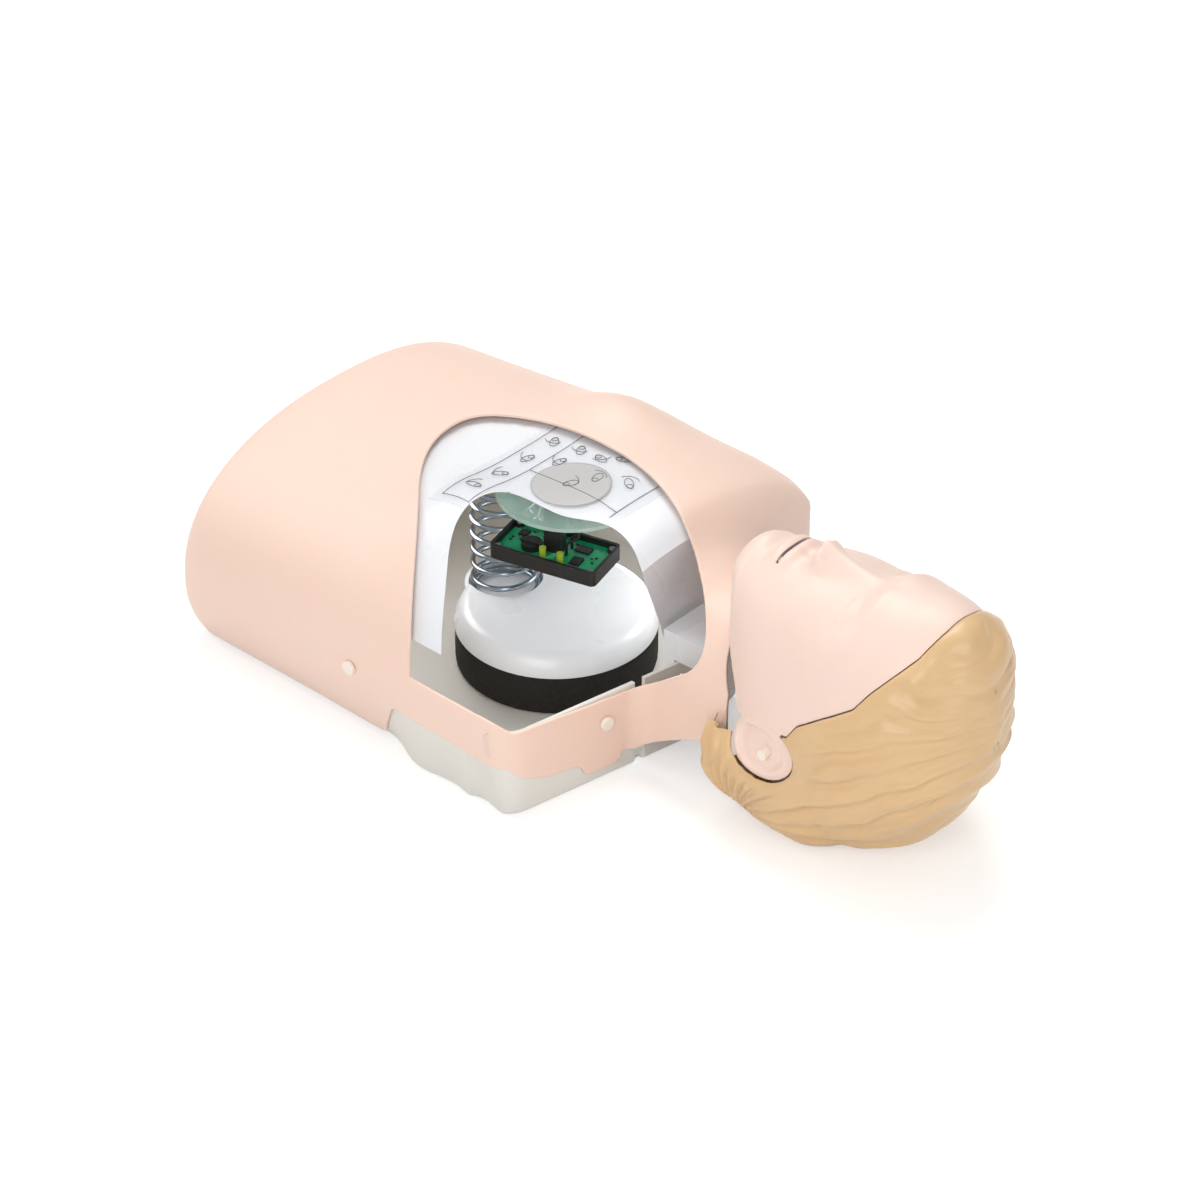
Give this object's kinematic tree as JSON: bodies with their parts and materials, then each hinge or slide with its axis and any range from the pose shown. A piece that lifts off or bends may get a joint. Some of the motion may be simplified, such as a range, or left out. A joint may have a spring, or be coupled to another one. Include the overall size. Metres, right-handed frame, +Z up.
{
  "type": "cpr training manikin",
  "caption": "Half-torso resuscitation trainer with a hinged head, a sprung chest and a display cutaway that shows the spring and press sensor.",
  "frame": {"origin": "on the floor under the press point of the chest, on the middle plane", "axes": "+X from the waist towards the head, +Y towards the side without the cutaway, +Z up"},
  "size_m": [0.641, 0.3592, 0.2231],
  "materials": {
    "torso_skin": "soft satin vinyl, peach",
    "base_plastic": "off-white moulded plastic, low gloss",
    "button": "peach plastic",
    "foam": "near-black foam, matt",
    "white_plastic": "cold white moulded plastic",
    "spring_steel": "zinc plated wire",
    "clear_film": "clear printed film",
    "clear_plastic": "clear moulded plastic",
    "grey_plastic": "light grey, matt",
    "black_plastic": "black, matt",
    "screw_steel": "plated",
    "board": "green board lacquer",
    "board_part": "yellow-green sleeve",
    "wire_cover": "black wire cover",
    "hair_plastic": "tan moulded hair, satin",
    "face_skin": "soft satin vinyl, pale pink"
  },
  "bodies": {
    "base": {"base_tray": "base_plastic", "torso_skin": "torso_skin", "skin_buttons": "button", "foam_block": "foam", "guide_dome": "white_plastic", "compression_spring": "spring_steel", "neck_beam": "white_plastic", "neck_pin": "screw_steel"},
    "chest": {"chest_plate": "white_plastic", "airway_bag": "clear_film", "clear_disc": "clear_plastic", "sensor_pad": "grey_plastic", "spring_seat": "white_plastic", "electronics_tray": "black_plastic", "tray_screws": "screw_steel", "circuit_board": "board", "tray_hanger": "black_plastic", "battery_holder": "black_plastic", "board_chips": "black_plastic", "board_capacitors": "board_part", "sensor_leads": "wire_cover"},
    "head": {"head_shell": "hair_plastic", "face_skin": "face_skin", "ear_pegs": "button", "jaw_pins": "white_plastic", "head_yoke": "white_plastic", "airway_tube": "white_plastic"},
    "jaw": {"jaw": "white_plastic"}
  },
  "joints": [
    {"name": "chest_compression", "type": "slide", "parent": "base", "child": "chest", "axis": [0, 0, -1], "range_m": [0, 0.05], "stiffness_N_per_m": 7000, "springref_m": -0.003, "deforming": ["compression_spring"]},
    {"name": "head_tilt", "type": "hinge", "parent": "base", "child": "head", "pos_m": [0.25, 0, 0.088], "axis": [0, 1, 0], "range_deg": [-20, 0]},
    {"name": "jaw_hinge", "type": "hinge", "parent": "head", "child": "jaw", "pos_m": [0.3, 0, 0.118], "axis": [0, 1, 0], "range_deg": [-3, 0]}
  ]
}
